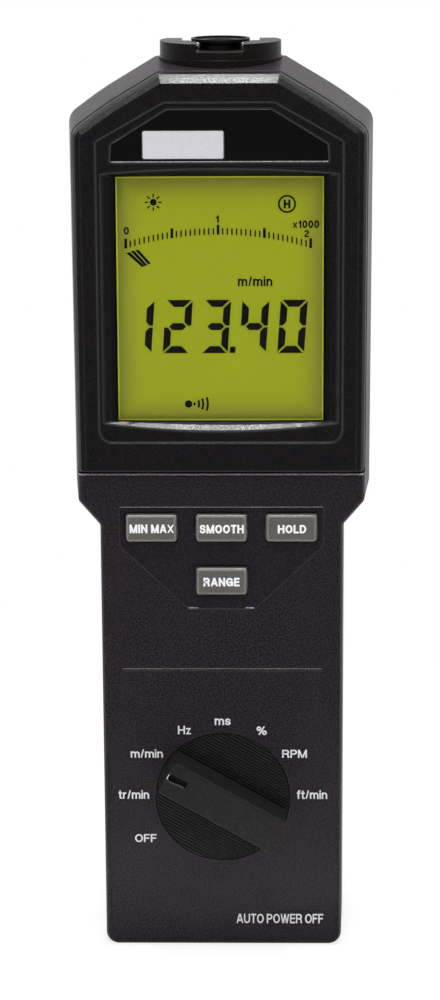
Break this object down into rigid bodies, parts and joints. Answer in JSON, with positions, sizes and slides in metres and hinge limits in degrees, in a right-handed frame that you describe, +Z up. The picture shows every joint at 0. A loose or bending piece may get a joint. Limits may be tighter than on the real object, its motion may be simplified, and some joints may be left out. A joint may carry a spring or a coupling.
{
  "type": "laser tachometer",
  "caption": "Hand-held laser tachometer with a slim handle, wide head with a bowed display, push keys, bar selector knob and a sensor barrel on top.",
  "frame": {"origin": "middle of the bottom face, at the middle of the overall depth", "axes": "+Z up along the body towards the sensor, -Y out of the display, +X to the right as seen from the front"},
  "size_m": [0.0706, 0.047, 0.2153],
  "materials": {
    "case_plastic": "black moulded plastic with a fine grain, softly polished on its edges",
    "cover_plastic": "black moulded plastic with a fine grain and lighter bevels",
    "plate_black": "smooth black plate, bare",
    "plate_silver": "brushed silver plate, bare",
    "clear_window": "clear hard plastic",
    "lcd_glass": "yellow-green display with dark segments",
    "light_plate": "frosted light plate",
    "lamp": "yellow lamp",
    "white_plastic": "natural white moulded plastic",
    "contact_rubber": "striped contact rubber",
    "board_green": "green lacquer on glass fibre",
    "chip_black": "black moulded chip with tinned leads",
    "capacitor_can": "printed aluminium can",
    "buzzer_black": "black plastic",
    "mat_rubber": "soft dark grey silicone",
    "key_plastic": "mid grey moulded plastic with white legends",
    "knob_plastic": "black moulded plastic, worn on its ridges",
    "spring_steel": "spring steel",
    "rotor_plastic": "natural acetal",
    "contact_brass": "plated spring brass",
    "ball_steel": "polished steel balls",
    "battery_can": "printed sleeve, bare of text, with plated terminals",
    "snap_plastic": "black vinyl",
    "lead_skin": "insulated wire",
    "pad_foam": "dark foam",
    "door_plastic": "black moulded plastic with a fine grain",
    "collar_plastic": "brownish black plastic, handled",
    "barrel_plastic": "dull black inside and out",
    "lens_glass": "clear coated glass",
    "ring_plastic": "black ring",
    "laser_can": "gold plated can",
    "detector_can": "tinned can",
    "header_plastic": "black header with gold plated pins",
    "screw_dark": "black oxide steel",
    "screw_steel": "zinc plated steel"
  },
  "bodies": {
    "case": {"rear_shell": "case_plastic", "front_shell": "case_plastic", "head_cover": "cover_plastic", "name_plate": "plate_black", "silver_plate": "plate_silver", "display_window": "clear_window", "lcd_cell": "lcd_glass", "backlight_plate": "light_plate", "backlight_lamps": "lamp", "lcd_holder": "white_plastic", "zebra_strips": "contact_rubber", "main_board": "board_green", "board_chips": "chip_black", "board_capacitors": "capacitor_can", "buzzer": "buzzer_black", "keypad_mat": "mat_rubber", "detent_ring": "white_plastic", "battery": "battery_can", "battery_snap": "snap_plastic", "battery_leads": "lead_skin", "battery_pad": "pad_foam", "sensor_collar": "collar_plastic", "sensor_barrel": "barrel_plastic", "sensor_lens": "lens_glass", "lens_ring": "ring_plastic", "laser_diode": "laser_can", "photo_detector": "detector_can", "sensor_board": "board_green", "sensor_header": "header_plastic", "case_screws": "screw_dark", "board_screws": "screw_steel", "cover_screws": "screw_steel"},
    "selector": {"selector_knob": "knob_plastic", "knob_clip": "spring_steel", "selector_rotor": "rotor_plastic", "selector_contacts": "contact_brass", "detent_balls": "ball_steel", "detent_springs": "spring_steel"},
    "min_max_button": {"key_min_max": "key_plastic"},
    "smooth_button": {"key_smooth": "key_plastic"},
    "hold_button": {"key_hold": "key_plastic"},
    "range_button": {"key_range": "key_plastic"},
    "door": {"battery_door": "door_plastic"}
  },
  "joints": [
    {"name": "selector_turn", "type": "hinge", "parent": "case", "child": "selector", "pos_m": [0, -0.0155, 0.0378], "axis": [0, -1, 0], "range_deg": [-150, 60]},
    {"name": "min_max_press", "type": "slide", "parent": "case", "child": "min_max_button", "axis": [0, 1, 0], "range_m": [0, 0.0008], "stiffness_N_per_m": 400, "springref_m": -0.0006},
    {"name": "smooth_press", "type": "slide", "parent": "case", "child": "smooth_button", "axis": [0, 1, 0], "range_m": [0, 0.0008], "stiffness_N_per_m": 400, "springref_m": -0.0006},
    {"name": "hold_press", "type": "slide", "parent": "case", "child": "hold_button", "axis": [0, 1, 0], "range_m": [0, 0.0008], "stiffness_N_per_m": 400, "springref_m": -0.0006},
    {"name": "range_press", "type": "slide", "parent": "case", "child": "range_button", "axis": [0, 1, 0], "range_m": [0, 0.0008], "stiffness_N_per_m": 400, "springref_m": -0.0006},
    {"name": "door_open", "type": "hinge", "parent": "case", "child": "door", "pos_m": [0, 0.0223, 0.0077], "axis": [-1, 0, 0], "range_deg": [0, 80]}
  ]
}
